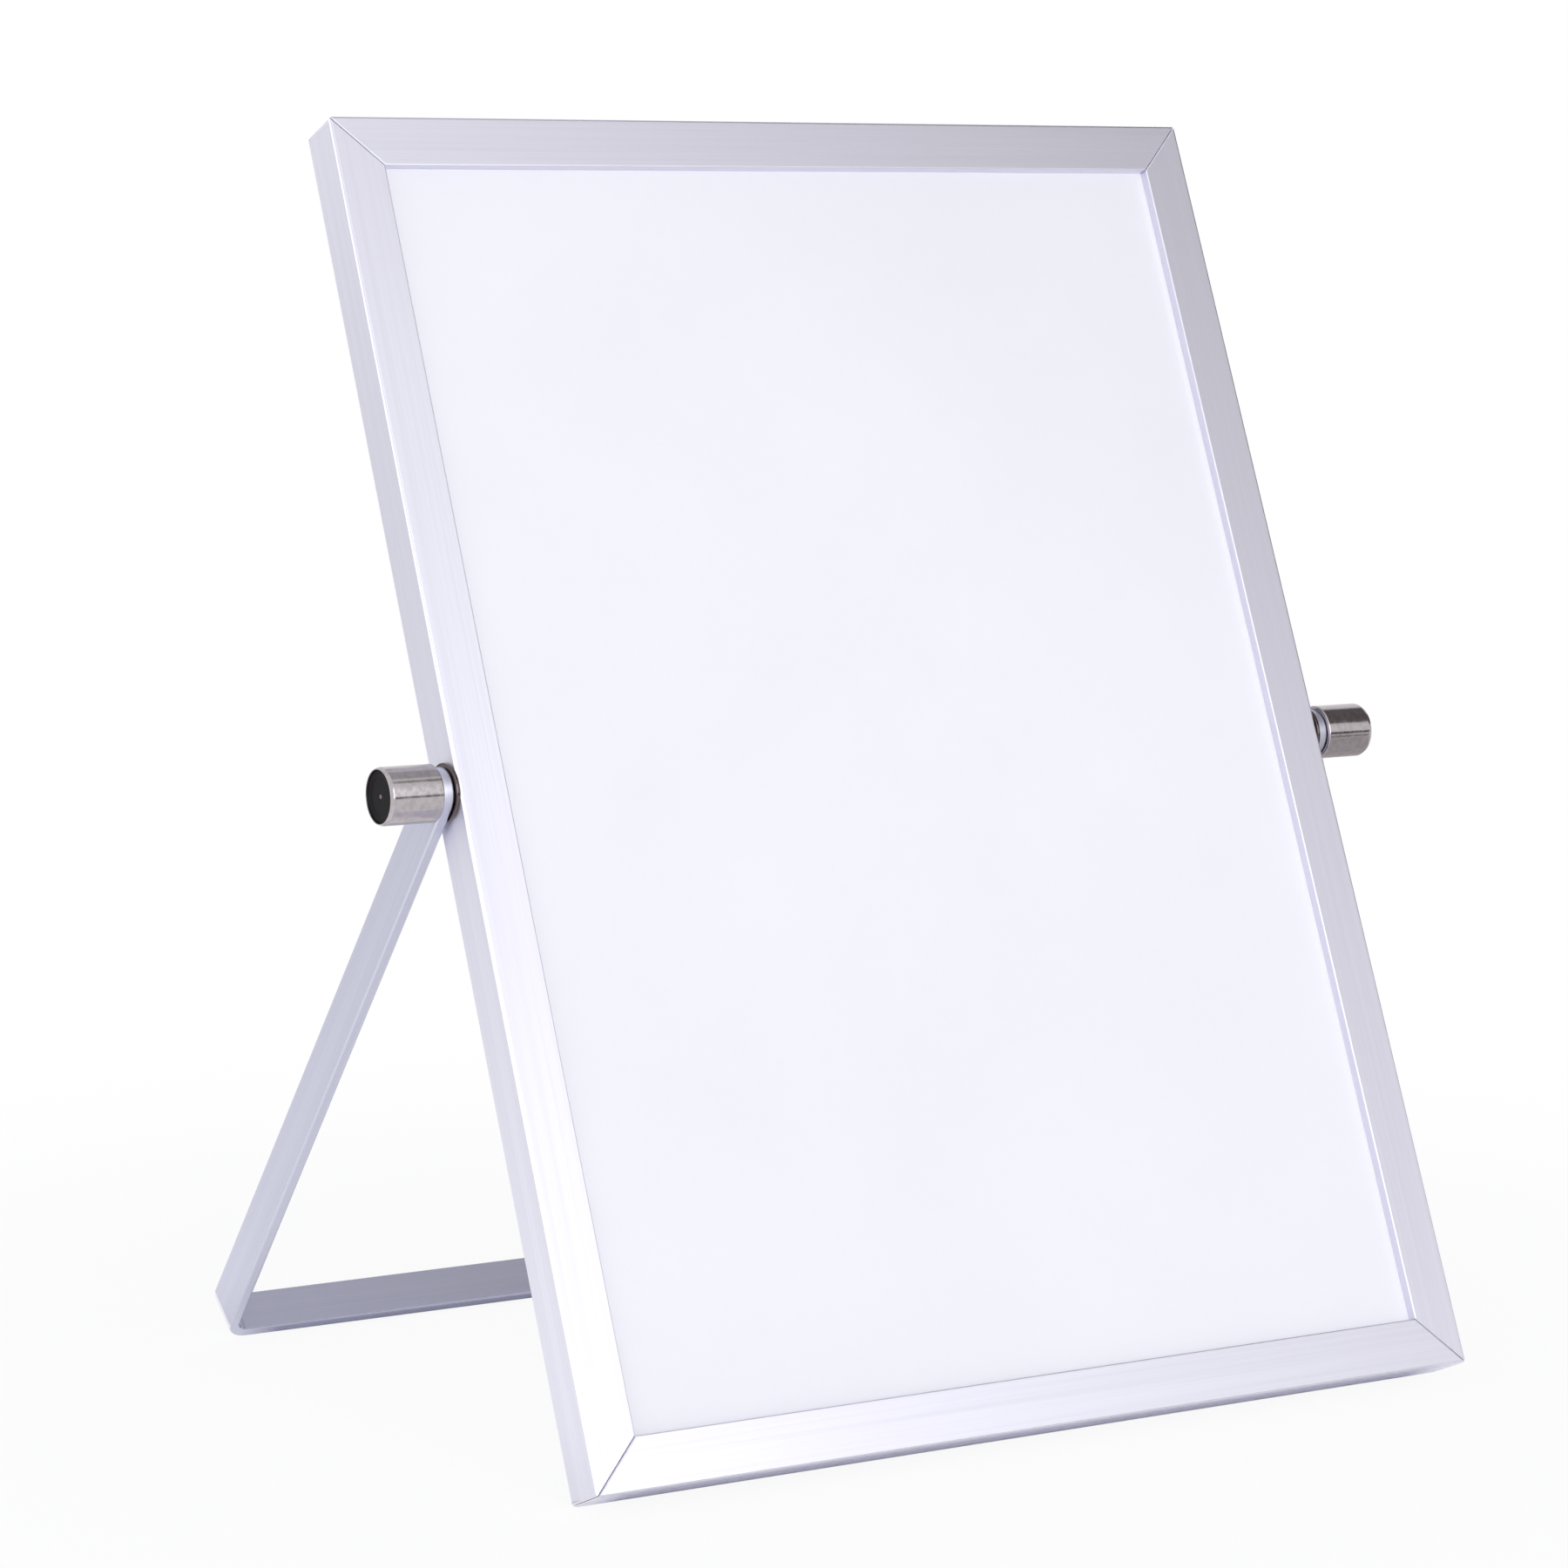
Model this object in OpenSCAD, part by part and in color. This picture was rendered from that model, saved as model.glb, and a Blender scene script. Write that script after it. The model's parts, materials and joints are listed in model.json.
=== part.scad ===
// Desk whiteboard easel: a double-sided magnetic board in a mitred aluminium frame.
// It swings right round on two pivots at mid height, between the legs of a U-shaped strip stand.
// The two thumb knobs screw in to clamp the legs.
//
// Frame of the model: X runs along the board's width, Z is up, and the writer stands on the -Y side.
// The origin lies on the desk, in the middle of the easel's footprint.

/* [Board] */
// Overall width of the framed board
board_w = 260; // [180:1:600]
// Overall height of the framed board
board_h = 350; // [240:1:600]
// How far the board leans back from upright, in degrees
lean = 23.75; // [12:0.25:26]

/* [Frame extrusion] */
// Depth of the extrusion, front face to back face
frame_depth = 13.6; // [12.6:0.1:16]
// Width of the lip that shows around the sheet
lip_w = 13.2; // [13:0.1:18]
// How far the writing sheet lies behind the front of the lip
sheet_recess = 2.7; // [2:0.1:3]
// Thickness of the extrusion's walls
wall = 1.2; // [1:0.1:1.4]
// Radius along the extrusion's four long outer edges
edge_r = 0.8; // [0.6:0.1:2]
// Width of the bead that turns down from the lip onto the sheet
bead_w = 1.6; // [1.2:0.1:2]
// Radius along the visible edge of the bead
bead_r = 0.6; // [0.3:0.1:0.8]
// Hairline left open at each mitre
mitre_gap = 0.12; // [0.04:0.02:0.3]

/* [Writing panel] */
// Thickness of each enamelled steel sheet
sheet_t = 0.3; // [0.2:0.05:0.6]
// Play between the panel's edges and the bottom of the groove
panel_play = 0.4; // [0.2:0.1:1]

/* [Corner keys] */
// Length of each arm of a corner key
key_arm = 26; // [20:1:40]
// Play between a key and the walls of the hollow that it sits in
key_play = 0.1; // [0.05:0.05:0.2]
// Length of the chamfer at the tip of each arm
key_tip = 1.5; // [0.5:0.5:2]

/* [Stand] */
// Angle of the legs from upright, in degrees
leg_angle = 38.75; // [36:0.25:45]
// Width of the flat strip
strip_w = 12.4; // [11:0.1:13.8]
// Thickness of the flat strip
strip_t = 3; // [2:0.1:4]
// Inside radius of the two bends
bend_r = 3.0; // [1:0.5:6]

/* [Pivots and knobs] */
// Diameter of the pivot bolts' shanks
bolt_d = 5; // [4:0.5:6]
// Side of the square bolt head
head_w = 9; // [8:0.5:10]
// Thickness of the bolt head
head_t = 3; // [2:0.5:3]
// Length of the spreader plate behind the stile's wall
plate_len = 30; // [20:1:40]
// Thickness of the spreader plate
plate_t = 1.5; // [1:0.5:2]
// Diameter of the collars and the knobs
knob_d = 14.4; // [12:0.1:18]
// Length of a knob
knob_len = 14.5; // [13:0.5:22]
// Thickness of the collar between the frame and a leg
collar_t = 0.8; // [0.8:0.1:2]
// Thickness of the washer that is let into a knob's inner end
washer_t = 0.5; // [0.4:0.1:1]
// Chamfer around both ends of a knob
knob_chamfer = 0.4; // [0.3:0.1:0.8]
// Width of the knob's rim around the end cap
rim_w = 0.6; // [0.5:0.1:1.5]
// Thickness of the end cap in a knob
cap_t = 1.2; // [1:0.1:1.5]
// How far the end cap lies below the knob's rim
cap_recess = 0.6; // [0.2:0.1:1]

/* [Hidden] */

$fn = 64;
over = 1;             // how far a cutting solid runs past what it cuts
face_gap = 0.1;       // between faces that turn on each other
bolt_play = 0.05;     // radial play of the bolt in the leg, the washer and the knob
wall_hole_play = 0.1; // radial play of the bolt in the stile's wall and the spreader plate
collar_play = 0.02;   // radial play of the collar on the bolt, which it locks

// The extrusion's section, measured inwards from its outer face
hollow_w = 6.6;
web_start = wall + hollow_w;
groove_start = web_start + wall;
hollow_depth = frame_depth - 2 * wall;
panel_t = frame_depth - 2 * sheet_recess;

// The panel's edges stand a little clear of the groove's bottom
panel_w = board_w - 2 * (groove_start + panel_play);
panel_h = board_h - 2 * (groove_start + panel_play);

// What lies along a pivot, counted outwards from the stile's outer face
leg_in = collar_t + face_gap;
leg_out = leg_in + strip_t;
knob_in = leg_out + face_gap;
knob_bore = knob_len - 4;
bolt_end_room = 2;
bolt_out = knob_in + knob_bore - bolt_end_room;
bolt_in = wall + plate_t + head_t;

// The washer sits in a seat in the knob's inner end, flush with it
washer_r = knob_d / 2 - 1.7;
seat_r = washer_r + face_gap;
seat_depth = washer_t + face_gap;

// The end cap sits in a recess in the knob's outer end
cap_r = knob_d / 2 - rim_w;
cap_floor = knob_len - cap_recess - cap_t;
cap_play = 0.05;
dimple_r = 0.7;
dimple_depth = 0.25;

// The board stands on its lower back edge, so its lean sets the pivots' height,
// and the stand's bar touches the desk with its front lower edge
half_depth = frame_depth / 2 - edge_r;
half_height = board_h / 2 - edge_r;
pivot_z = half_depth * sin(lean) + half_height * cos(lean) + edge_r;
leg_len = (pivot_z - strip_w / 2 * sin(leg_angle)) / cos(leg_angle);

// The footprint runs from the board's lower front edge to the back of the bar
reach_front = half_depth * cos(lean) + half_height * sin(lean) + edge_r;
reach_back = leg_len * sin(leg_angle) + strip_w / 2 * cos(leg_angle);
pivot_y = (reach_front - reach_back) / 2;

// Colours
anodised = "#C9CBDB";
enamel = "#F4F6FC";
chrome = "#B9B9BE";
zinc = "#9FA3A8";
black = "#1C1A1C";
fibreboard = "#A88660";

// ---- Places ----

// The board's own frame: its centre, with X along its width and -Y out of its front
module on_board() {
    translate([0, pivot_y, pivot_z])
        rotate([-lean, 0, 0])
            children();
}

// The stand's own frame: the pivots' axis, with the legs straight down
module on_stand() {
    translate([0, pivot_y, pivot_z])
        rotate([leg_angle, 0, 0])
            children();
}

// A pivot, with +Z outwards from the stile's outer face; side is -1 on the left and 1 on the right
module at_pivot(side) {
    translate([side * board_w / 2, 0, 0])
        rotate([0, side * 90, 0])
            children();
}

// ---- Frame ----

// Outline of the extrusion: round on its outer corners and along the beads
module rail_outline() {
    translate([edge_r, -frame_depth / 2])
        square([lip_w - edge_r - bead_r, frame_depth]);
    translate([0, -half_depth])
        square([lip_w / 2, 2 * half_depth]);
    translate([lip_w / 2, bead_r - frame_depth / 2])
        square([lip_w / 2, frame_depth - 2 * bead_r]);
    for (side = [-1, 1]) {
        translate([edge_r, side * half_depth])
            circle(r = edge_r);
        translate([lip_w - bead_r, side * (frame_depth / 2 - bead_r)])
            circle(r = bead_r);
    }
}

// Section of the extrusion: X inwards from the outer face, Y from front to back
module rail_section() {
    difference() {
        rail_outline();
        translate([wall, -hollow_depth / 2])
            square([hollow_w, hollow_depth]);
        translate([groove_start, -hollow_depth / 2])
            square([lip_w - bead_w - groove_start, hollow_depth]);
        translate([groove_start, -panel_t / 2])
            square([lip_w, panel_t]);
    }
}

// A length of extrusion along Z, outer face at X = 0, mitred at both ends
module rail(length) {
    half = length / 2 - mitre_gap / 2;
    far = lip_w + over;
    intersection() {
        translate([0, 0, -length / 2])
            linear_extrude(length)
                rail_section();
        rotate([90, 0, 0])
            linear_extrude(frame_depth + 2 * over, center = true)
                polygon([[-over, -half - over], [far, far - half], [far, half - far], [-over, half + over]]);
    }
}

// A stile, drilled in the outer wall for its pivot bolt
module stile() {
    difference() {
        rail(board_h);
        rotate([0, 90, 0])
            translate([0, 0, -over])
                cylinder(r = bolt_d / 2 + wall_hole_play, h = wall + 2 * over);
    }
}

module frame_left_stile() {
    color(anodised)
        on_board()
            translate([-board_w / 2, 0, 0])
                stile();
}

module frame_right_stile() {
    color(anodised)
        on_board()
            rotate([0, 0, 180])
                translate([-board_w / 2, 0, 0])
                    stile();
}

module frame_bottom_rail() {
    color(anodised)
        on_board()
            rotate([0, -90, 0])
                translate([-board_h / 2, 0, 0])
                    rail(board_w);
}

module frame_top_rail() {
    color(anodised)
        on_board()
            rotate([0, 90, 0])
                translate([-board_h / 2, 0, 0])
                    rail(board_w);
}

// An L with chamfered tips that fills the hollows of two rails at a mitre
module corner_key(side_x, side_z) {
    near = wall + key_play;
    arm_w = hollow_w - 2 * key_play;
    mid = near + arm_w;
    tip = near + key_arm;
    color(zinc)
        on_board()
            mirror([side_x > 0 ? 1 : 0, 0, 0])
                mirror([0, 0, side_z > 0 ? 1 : 0])
                    translate([-board_w / 2, 0, -board_h / 2])
                        rotate([90, 0, 0])
                            linear_extrude(hollow_depth - 2 * key_play, center = true)
                                polygon([
                                    [near, near], [tip - key_tip, near], [tip, near + key_tip],
                                    [tip, mid - key_tip], [tip - key_tip, mid], [mid, mid],
                                    [mid, tip - key_tip], [mid - key_tip, tip],
                                    [near + key_tip, tip], [near, tip - key_tip]
                                ]);
}

// ---- Writing panel ----

// A slab of the panel's outline, from one depth to another
module panel_slab(front, back) {
    translate([-panel_w / 2, front, -panel_h / 2])
        cube([panel_w, back - front, panel_h]);
}

module front_sheet() {
    color(enamel)
        on_board()
            panel_slab(-panel_t / 2, sheet_t - panel_t / 2);
}

module rear_sheet() {
    color(enamel)
        on_board()
            panel_slab(panel_t / 2 - sheet_t, panel_t / 2);
}

module core_board() {
    color(fibreboard)
        on_board()
            panel_slab(sheet_t - panel_t / 2, panel_t / 2 - sheet_t);
}

// ---- Pivots ----

// Steel plate that spreads the bolt head's pull along the stile's thin wall
module spreader_plate(side) {
    plate_w = hollow_depth - 2 * key_play;
    color(zinc)
        on_board()
            at_pivot(side)
                translate([0, 0, -wall - plate_t])
                    difference() {
                        translate([-plate_len / 2, -plate_w / 2, 0])
                            cube([plate_len, plate_w, plate_t]);
                        translate([0, 0, -over])
                            cylinder(r = bolt_d / 2 + wall_hole_play, h = plate_t + 2 * over);
                    }
}

// Bolt with a square head, too wide to turn inside the stile
module pivot_bolt(side) {
    tip_chamfer = 0.6;
    color(zinc)
        on_board()
            at_pivot(side) {
                translate([-head_w / 2, -head_w / 2, -bolt_in])
                    cube([head_w, head_w, head_t]);
                rotate_extrude()
                    polygon([
                        [0, -bolt_in + head_t / 2], [bolt_d / 2, -bolt_in + head_t / 2],
                        [bolt_d / 2, bolt_out - tip_chamfer], [bolt_d / 2 - tip_chamfer, bolt_out],
                        [0, bolt_out]
                    ]);
            }
}

// Thin round nut that locks the bolt and keeps the leg off the frame
module pivot_collar(side) {
    rim = 0.25;
    bore_r = bolt_d / 2 + collar_play;
    color(chrome)
        on_board()
            at_pivot(side)
                rotate_extrude()
                    polygon([
                        [bore_r, 0], [knob_d / 2 - rim, 0], [knob_d / 2, rim],
                        [knob_d / 2, collar_t - rim], [knob_d / 2 - rim, collar_t], [bore_r, collar_t]
                    ]);
}

// ---- Stand ----

// The U seen from the front: two legs and the bar, with a round bend at each corner
module strip_path() {
    inner_x = board_w / 2 + leg_in;
    outer_x = board_w / 2 + leg_out;
    outer_r = bend_r + strip_t;
    difference() {
        union() {
            translate([-outer_x, outer_r - leg_len])
                square([2 * outer_x, leg_len - outer_r]);
            translate([outer_r - outer_x, -leg_len])
                square([2 * (outer_x - outer_r), outer_r + over]);
            for (side = [-1, 1])
                translate([side * (outer_x - outer_r), outer_r - leg_len])
                    circle(r = outer_r);
        }
        translate([-inner_x, bend_r + strip_t - leg_len])
            square([2 * inner_x, leg_len]);
        translate([bend_r - inner_x, strip_t - leg_len])
            square([2 * (inner_x - bend_r), leg_len]);
        for (side = [-1, 1])
            translate([side * (inner_x - bend_r), strip_t + bend_r - leg_len])
                circle(r = bend_r);
    }
}

module stand_strip() {
    color(anodised)
        on_stand()
            difference() {
                union() {
                    rotate([90, 0, 0])
                        linear_extrude(strip_w, center = true)
                            strip_path();
                    for (side = [-1, 1])
                        at_pivot(side)
                            translate([0, 0, leg_in])
                                cylinder(d = strip_w, h = strip_t);
                }
                for (side = [-1, 1])
                    at_pivot(side)
                        translate([0, 0, leg_in - over])
                            cylinder(r = bolt_d / 2 + bolt_play, h = strip_t + 2 * over);
            }
}

// ---- Knobs ----

module friction_washer(side) {
    color(black)
        on_board()
            at_pivot(side)
                translate([0, 0, knob_in])
                    difference() {
                        cylinder(r = washer_r, h = washer_t);
                        translate([0, 0, -over])
                            cylinder(r = bolt_d / 2 + bolt_play, h = washer_t + 2 * over);
                    }
}

// Turned barrel with a blind bore and the washer's seat on the inside, and a recess for the cap on the outside
module thumb_knob(side) {
    knob_r = knob_d / 2;
    bore_r = bolt_d / 2 + bolt_play;
    rim_r = knob_r - knob_chamfer;
    color(chrome)
        on_board()
            at_pivot(side)
                translate([0, 0, knob_in])
                    rotate_extrude()
                        polygon([
                            [bore_r, seat_depth], [seat_r, seat_depth], [seat_r, 0],
                            [rim_r, 0], [knob_r, knob_chamfer],
                            [knob_r, knob_len - knob_chamfer], [rim_r, knob_len],
                            [cap_r, knob_len], [cap_r, cap_floor],
                            [0, cap_floor], [0, knob_bore], [bore_r, knob_bore]
                        ]);
}

// Black disc pressed into the knob's end, with a small dimple at its centre
module knob_cap(side) {
    color(black)
        on_board()
            at_pivot(side)
                translate([0, 0, knob_in + cap_floor])
                    difference() {
                        cylinder(r = cap_r - cap_play, h = cap_t);
                        translate([0, 0, cap_t - dimple_depth])
                            cylinder(r = dimple_r, h = over);
                    }
}

// ---- The whole easel, node by node ----

frame_top_rail();
frame_bottom_rail();
frame_left_stile();
frame_right_stile();
corner_key(-1, 1);  // corner_key_top_left
corner_key(1, 1);  // corner_key_top_right
corner_key(-1, -1);  // corner_key_bottom_left
corner_key(1, -1);  // corner_key_bottom_right
core_board();
front_sheet();
rear_sheet();
spreader_plate(-1);  // spreader_plate_left
spreader_plate(1);  // spreader_plate_right
pivot_bolt(-1);  // pivot_bolt_left
pivot_bolt(1);  // pivot_bolt_right
pivot_collar(-1);  // pivot_collar_left
pivot_collar(1);  // pivot_collar_right
stand_strip();
friction_washer(-1);  // friction_washer_left
friction_washer(1);  // friction_washer_right
thumb_knob(-1);  // thumb_knob_left
thumb_knob(1);  // thumb_knob_right
knob_cap(-1);  // knob_cap_left
knob_cap(1);  // knob_cap_right
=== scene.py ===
"""Desk whiteboard easel: the pieces that are seen, over the fixed CAD frame, and their studio."""

import json
import math
from functools import partial

import bmesh
import bpy
import numpy as np
from bpy.props import FloatProperty, FloatVectorProperty, IntProperty, PointerProperty
from mathutils import Matrix, Vector


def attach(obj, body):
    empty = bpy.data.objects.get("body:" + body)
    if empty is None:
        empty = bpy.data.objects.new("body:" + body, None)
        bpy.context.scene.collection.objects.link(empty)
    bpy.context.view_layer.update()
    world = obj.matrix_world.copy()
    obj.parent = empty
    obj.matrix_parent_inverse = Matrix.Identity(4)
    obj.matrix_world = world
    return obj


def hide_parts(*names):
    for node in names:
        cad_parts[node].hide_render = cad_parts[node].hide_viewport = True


bl_info = {
    "name": "Desk Whiteboard Easel",
    "version": (1, 0, 0),
    "blender": (4, 5, 0),
    "location": "View3D > Sidebar > Easel",
    "description": "Builds a double-sided desk whiteboard on a U-shaped strip stand",
    "category": "Object",
}

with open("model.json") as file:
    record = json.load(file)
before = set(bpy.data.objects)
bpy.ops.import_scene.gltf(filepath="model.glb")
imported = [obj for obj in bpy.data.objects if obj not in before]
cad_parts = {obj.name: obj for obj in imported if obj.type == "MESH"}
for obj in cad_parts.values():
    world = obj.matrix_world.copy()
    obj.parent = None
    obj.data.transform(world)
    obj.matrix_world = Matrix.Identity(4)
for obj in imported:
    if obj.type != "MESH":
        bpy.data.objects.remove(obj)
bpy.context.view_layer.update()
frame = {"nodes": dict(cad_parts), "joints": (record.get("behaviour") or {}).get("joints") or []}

MM = 0.001
PIVOT = Vector({joint["name"]: joint for joint in frame["joints"]}["board_swing"]["pos_m"])
SIDES = {"left": -1, "right": 1}
# How far outwards from the stile's face the leg and the knob start and the bolt ends
LEG_IN = 0.9 * MM
KNOB_IN = 4.0 * MM
BOLT_OUT = 12.5 * MM
# Room for rounding where places are compared
SLACK = 0.01 * MM


def linear(code):
    """An sRGB hex colour as linear red, green and blue."""
    parts = [int(code[i : i + 2], 16) / 255 for i in (1, 3, 5)]
    return [p / 12.92 if p <= 0.04045 else ((p + 0.055) / 1.055) ** 2.4 for p in parts]


# ---- Settings ----


def length(name, description, default):
    """A size property, given in millimetres and kept in metres."""
    return FloatProperty(
        name=name,
        description=description,
        default=default * MM,
        min=0.0,
        precision=5,
        unit="LENGTH",
        subtype="DISTANCE",
    )


def angle(name, description, degrees):
    """An angle property, given in degrees."""
    return FloatProperty(
        name=name, description=description, default=math.radians(degrees), subtype="ANGLE"
    )


def amount(name, description, default):
    """A plain number that is never negative."""
    return FloatProperty(name=name, description=description, default=default, min=0.0)


def colour(name, description, default):
    """A colour property, given as sRGB hex."""
    return FloatVectorProperty(
        name=name,
        description=description,
        default=linear(default),
        size=3,
        min=0.0,
        max=1.0,
        subtype="COLOR",
    )


class EaselFrameSettings(bpy.types.PropertyGroup):
    """Sizes of the framed board"""

    width: length("Board width", "Overall width of the framed board", 260)
    height: length("Board height", "Overall height of the framed board", 350)
    lean: angle("Lean", "How far the board leans back from upright", 23.75)
    depth: length("Frame depth", "Front face to back face of the extrusion", 13.6)
    lip: length("Lip width", "Width of the lip that shows around the sheet", 13.2)
    recess: length("Sheet recess", "How far the sheet lies behind the lip", 2.7)
    wall: length("Wall", "Thickness of the extrusion's walls", 1.2)
    hollow: length("Hollow", "Width of the hollow that takes the corner keys", 6.6)
    edge: length("Edge radius", "Radius along the long outer edges", 0.8)
    bead: length("Bead width", "Width of the bead along the sheet", 1.6)
    bead_edge: length("Bead radius", "Radius along the visible edge of the bead", 0.35)
    corner: length("Corner radius", "Radius that takes the point off each corner", 1.6)
    mitre_gap: length("Mitre gap", "Hairline left open at each mitre", 0.2)
    groove: length("Mitre groove", "Side of the square that cuts a mitre's groove", 0.4)
    deburr: length("Deburring", "Width of the broken edge along a cut", 0.18)
    bolt_hole: length("Bolt hole", "Hole drilled in each stile's wall", 5.2)


class EaselStandSettings(bpy.types.PropertyGroup):
    """Sizes of the stand"""

    leg_angle: angle("Leg angle", "Angle of the legs from upright", 38.75)
    leg: length("Leg length", "From the pivots to the underside of the bar", 203.598)
    width: length("Strip width", "Width of the flat strip", 12.4)
    thickness: length("Strip thickness", "Thickness of the flat strip", 3.0)
    bend: length("Bend radius", "Inside radius of the two bends", 3.0)
    edge: length("Edge radius", "Radius along the strip's edges", 0.6)
    hole: length("Pivot hole", "Hole in the end of each leg", 5.1)


class EaselKnobSettings(bpy.types.PropertyGroup):
    """Sizes of the pivots and knobs"""

    diameter: length("Knob diameter", "Diameter of the knobs and collars", 14.4)
    length: length("Knob length", "Length of a knob", 14.5)
    rim: length("Rim", "Width of the knob's rim around its cap", 0.6)
    recess: length("Cap recess", "How far the cap lies below the rim", 0.6)
    collar: length("Collar thickness", "Thickness of a collar", 0.8)
    bolt: length("Bolt diameter", "Outside diameter of the bolt's thread", 5.0)
    pitch: length("Thread pitch", "Advance of the bolt's thread in one turn", 0.8)
    steps: IntProperty(
        name="Steps", description="Facets around a turned part", default=160, min=48, max=256
    )


class EaselFinishSettings(bpy.types.PropertyGroup):
    """Colours of the finishes"""

    aluminium: colour("Aluminium", "Clear anodised frame", "#E0DFEB")
    strip: colour("Strip", "Clear anodised stand", "#CACBDB")
    enamel: colour("Enamel", "Writing surface", "#F4F4FB")
    plating: colour("Plating", "Bright plating of the knobs", "#B3ADB0")
    # Painted shade: the collars' plating is darkened to stand in for the shade in the gap between
    # the leg and the stile
    collar: colour("Collar", "Darker plating of the collars", "#6A605F")
    plastic: colour("Cap", "Moulded cap in a knob's end", "#1A191C")
    pin: colour("Pin", "Pin in the middle of a cap", "#7A6C6E")
    rubber: colour("Rubber", "Friction washers", "#1D1C1F")
    zinc: colour("Zinc", "Zinc plated steel", "#B4B9BF")
    casting: colour("Casting", "Die-cast corner keys", "#9DA1A6")
    fibre: colour("Fibreboard", "Core of the board", "#A88660")


class EaselStudioSettings(bpy.types.PropertyGroup):
    """Camera and studio"""

    focal: amount("Focal length", "Focal length of the camera in millimetres", 109.985)
    yaw: angle("Yaw", "How far the camera looks to the right of straight ahead", 31.304)
    pitch: angle("Pitch", "How far the camera looks down", 7.561)
    roll: angle("Roll", "Turn of the camera about its line of sight", 0.521)
    place: FloatVectorProperty(
        name="Camera place",
        description="Where the camera stands",
        default=(-0.65927, -1.05606, 0.31854),
        size=3,
        unit="LENGTH",
        subtype="TRANSLATION",
    )
    floor: colour("Floor", "Pale floor", "#FAFAFC")
    key: amount("Key light", "Brightness of the large lamp in front, where 1 is white", 2.3)
    sky: amount("Soft light", "Brightness of the even light all round, where 1 is white", 0.76)


SETTINGS = {
    "easel_frame": EaselFrameSettings,
    "easel_stand": EaselStandSettings,
    "easel_knobs": EaselKnobSettings,
    "easel_finish": EaselFinishSettings,
    "easel_studio": EaselStudioSettings,
}


# ---- Places ----


def on_board():
    """The board's own frame: its centre, X along its width and -Y out of its front."""
    lean = bpy.context.scene.easel_frame.lean
    return Matrix.Translation(PIVOT) @ Matrix.Rotation(-lean, 4, "X")


def on_stand():
    """The stand's own frame: the pivots' axis, with the legs straight down."""
    angle = bpy.context.scene.easel_stand.leg_angle
    return Matrix.Translation(PIVOT) @ Matrix.Rotation(angle, 4, "X")


def at_pivot(side):
    """A pivot, with +Z outwards from the stile's face."""
    reach = side * bpy.context.scene.easel_frame.width / 2
    turn = Matrix.Rotation(side * math.pi / 2, 4, "Y")
    return on_board() @ Matrix.Translation((reach, 0, 0)) @ turn


# ---- Nodes ----

# The kinds of nodes that are used most
MATH, NOISE = "ShaderNodeMath", "ShaderNodeTexNoise"
XYZ, MOVE = "ShaderNodeCombineXYZ", "GeometryNodeTransform"


def put(tree, kind, feeds=None, **settings):
    """Adds a node with its settings.

    Each feed is a value, a node's output, or a node, which means its first output. A list feeds
    several of them to one input.
    """
    node = tree.nodes.new(kind)
    for key, value in settings.items():
        setattr(node, key, value)
    for key, value in (feeds or {}).items():
        for source in value if isinstance(value, list) else [value]:
            if isinstance(source, bpy.types.Node):
                source = source.outputs[0]
            if isinstance(source, bpy.types.NodeSocket):
                tree.links.new(source, node.inputs[key])
            else:
                node.inputs[key].default_value = source
    return node


def sized_tree(name, sizes, worked_out):
    """A geometry tree with a named input for each size, and lengths worked out from them.

    Each of those is an operation on two sizes or numbers. Returns the tree and everything by name.
    """
    tree = bpy.data.node_groups.new(name, "GeometryNodeTree")
    sockets = [("Geometry", "OUTPUT", "Geometry")]
    sockets += [(size, "INPUT", "Float") for size in sizes] + [("Material", "INPUT", "Material")]
    for label, way, kind in sockets:
        tree.interface.new_socket(name=label, in_out=way, socket_type="NodeSocket" + kind)
    group = put(tree, "NodeGroupInput")
    known = {label: group.outputs[label] for label in (*sizes, "Material")}
    for label, (operation, first, second) in worked_out.items():
        feeds = {0: known.get(first, first), 1: known.get(second, second)}
        known[label] = put(tree, MATH, feeds, operation=operation).outputs[0]
    return tree, known


def prism(add, outline, low, high):
    """A solid: an outline drawn out along Z between two heights."""
    start, end = (add(XYZ, {2: height}) for height in (low, high))
    path = add("GeometryNodeCurvePrimitiveLine", {"Start": start, "End": end})
    feeds = {"Curve": path, "Profile Curve": outline, "Fill Caps": True}
    return add("GeometryNodeCurveToMesh", feeds)


def close_tree(tree, known, shape):
    """Ends a geometry tree: instances made real, then the material."""
    real = put(tree, "GeometryNodeRealizeInstances", {0: shape})
    feeds = {"Geometry": real, "Material": known["Material"]}
    put(tree, "NodeGroupOutput", {0: put(tree, "GeometryNodeSetMaterial", feeds)})
    return tree


# ---- Meshes ----


def new_object(name, data):
    """A new object in the scene, with its mesh, lamp or camera."""
    obj = bpy.data.objects.new(name, data)
    bpy.context.collection.objects.link(obj)
    return obj


def made_plain(obj):
    """Turns an object with modifiers into a plain mesh."""
    graph = bpy.context.evaluated_depsgraph_get()
    mesh = bpy.data.meshes.new_from_object(
        obj.evaluated_get(graph), preserve_all_data_layers=True, depsgraph=graph
    )
    obj.modifiers.clear()
    obj.data = mesh
    return obj


def as_mesh(name, shape, *materials):
    """A bmesh as a mesh with its materials. The bmesh itself is freed."""
    mesh = bpy.data.meshes.new(name)
    shape.to_mesh(mesh)
    shape.free()
    for material in materials:
        mesh.materials.append(material)
    return mesh


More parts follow.
